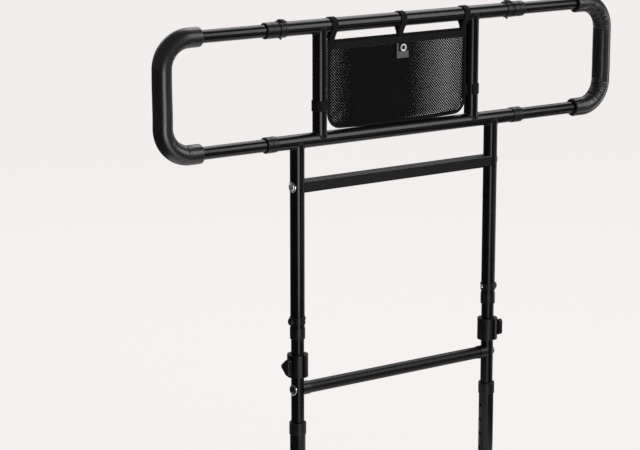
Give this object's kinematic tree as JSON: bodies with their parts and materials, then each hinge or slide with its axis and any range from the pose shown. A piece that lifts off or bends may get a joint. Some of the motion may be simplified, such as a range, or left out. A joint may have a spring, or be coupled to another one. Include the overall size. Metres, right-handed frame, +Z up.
{
  "type": "bed assist rail",
  "caption": "Free-standing bed assist rail with telescopic legs, pull-out padded U grips, a mesh storage pouch and a runner base.",
  "frame": {"origin": "on the floor, under the middle of the part's box", "axes": "+X along the rail to the right as the bedside user faces it, +Y towards and under the bed, +Z up"},
  "size_m": [1.005, 0.49, 0.9979],
  "materials": {
    "frame_paint": "semi-gloss black powder coat",
    "black_plastic": "satin black moulding",
    "bright_steel": "bright plated",
    "black_steel": "black oxide",
    "spring_steel": "satin",
    "brass": "turned",
    "grip_leather": "smooth black, stitched",
    "mesh_cloth": "knitted spacer mesh",
    "webbing": "woven tape",
    "tag": "grey soft label",
    "foot_rubber": "matt"
  },
  "bodies": {
    "base": {"left_lower_leg": "frame_paint", "right_lower_leg": "frame_paint", "left_socket_collar": "black_plastic", "right_socket_collar": "black_plastic", "left_runner": "frame_paint", "right_runner": "frame_paint", "rear_cross_tube": "frame_paint", "runner_end_caps": "black_plastic", "rubber_feet": "foot_rubber"},
    "mid_frame": {"left_mid_tube": "frame_paint", "right_mid_tube": "frame_paint", "lower_cross_tube": "frame_paint", "cross_tube_plugs": "black_plastic", "cross_tube_bolts": "black_steel", "mid_tube_glides": "black_plastic", "snap_clips": "spring_steel", "left_stop_collar": "black_plastic", "right_stop_collar": "black_plastic", "stop_collar_bushes": "brass"},
    "upper_frame": {"upper_rail_tube": "frame_paint", "lower_rail_tube": "frame_paint", "left_upright": "frame_paint", "right_upright": "frame_paint", "left_upper_leg": "frame_paint", "right_upper_leg": "frame_paint", "flat_crossbar": "frame_paint", "crossbar_end_plugs": "bright_steel", "crossbar_bolts": "bright_steel", "upper_rail_collars": "black_plastic", "lower_rail_collars": "black_plastic", "left_rail_lock_ring": "black_plastic", "right_rail_lock_ring": "black_plastic", "rail_lock_pins": "spring_steel", "rail_ring_pegs": "black_plastic", "left_leg_lock_ring": "black_plastic", "right_leg_lock_ring": "black_plastic", "leg_lock_pins": "spring_steel", "leg_ring_screws": "bright_steel", "leg_end_collars": "black_plastic", "pouch": "mesh_cloth", "pouch_hanging_loops": "webbing", "pouch_side_straps": "webbing", "pouch_tag": "tag", "tag_press_stud": "bright_steel"},
    "left_extension": {"left_extension_tube": "frame_paint", "left_grip": "grip_leather", "left_tube_glides": "black_plastic"},
    "right_extension": {"right_extension_tube": "frame_paint", "right_grip": "grip_leather", "right_tube_glides": "black_plastic"},
    "left_knob": {"left_stop_knob": "black_plastic"},
    "right_knob": {"right_stop_knob": "black_plastic"},
    "left_rail_button": {"left_rail_lock_button": "black_plastic"},
    "right_rail_button": {"right_rail_lock_button": "black_plastic"},
    "left_leg_button": {"left_leg_lock_button": "black_plastic"},
    "right_leg_button": {"right_leg_lock_button": "black_plastic"}
  },
  "joints": [
    {"name": "lower_height", "type": "slide", "parent": "base", "child": "mid_frame", "axis": [0, 0, 1], "range_m": [0, 0.112], "deforming": ["snap_clips"]},
    {"name": "upper_height", "type": "slide", "parent": "mid_frame", "child": "upper_frame", "axis": [0, 0, 1], "range_m": [0, 0.08], "deforming": ["leg_lock_pins"]},
    {"name": "left_extension_slide", "type": "slide", "parent": "upper_frame", "child": "left_extension", "axis": [1, 0, 0], "range_m": [0, 0.12], "deforming": ["rail_lock_pins"]},
    {"name": "left_knob_turn", "type": "hinge", "parent": "mid_frame", "child": "left_knob", "pos_m": [-0.216, -0.175, 0.3875], "axis": [-1, 0, 0], "continuous": true},
    {"name": "left_rail_button_press", "type": "slide", "parent": "upper_frame", "child": "left_rail_button", "axis": [0, 0, -1], "range_m": [0, 0.0015], "stiffness_N_per_m": 800, "deforming": ["rail_lock_pins"]},
    {"name": "left_leg_button_press", "type": "slide", "parent": "upper_frame", "child": "left_leg_button", "axis": [1, 0, 0], "range_m": [0, 0.0015], "stiffness_N_per_m": 800, "deforming": ["leg_lock_pins"]},
    {"name": "right_extension_slide", "type": "slide", "parent": "upper_frame", "child": "right_extension", "axis": [-1, 0, 0], "range_m": [0, 0.12], "deforming": ["rail_lock_pins"]},
    {"name": "right_knob_turn", "type": "hinge", "parent": "mid_frame", "child": "right_knob", "pos_m": [0.216, -0.175, 0.3875], "axis": [1, 0, 0], "continuous": true},
    {"name": "right_rail_button_press", "type": "slide", "parent": "upper_frame", "child": "right_rail_button", "axis": [0, 0, -1], "range_m": [0, 0.0015], "stiffness_N_per_m": 800, "deforming": ["rail_lock_pins"]},
    {"name": "right_leg_button_press", "type": "slide", "parent": "upper_frame", "child": "right_leg_button", "axis": [-1, 0, 0], "range_m": [0, 0.0015], "stiffness_N_per_m": 800, "deforming": ["leg_lock_pins"]}
  ]
}
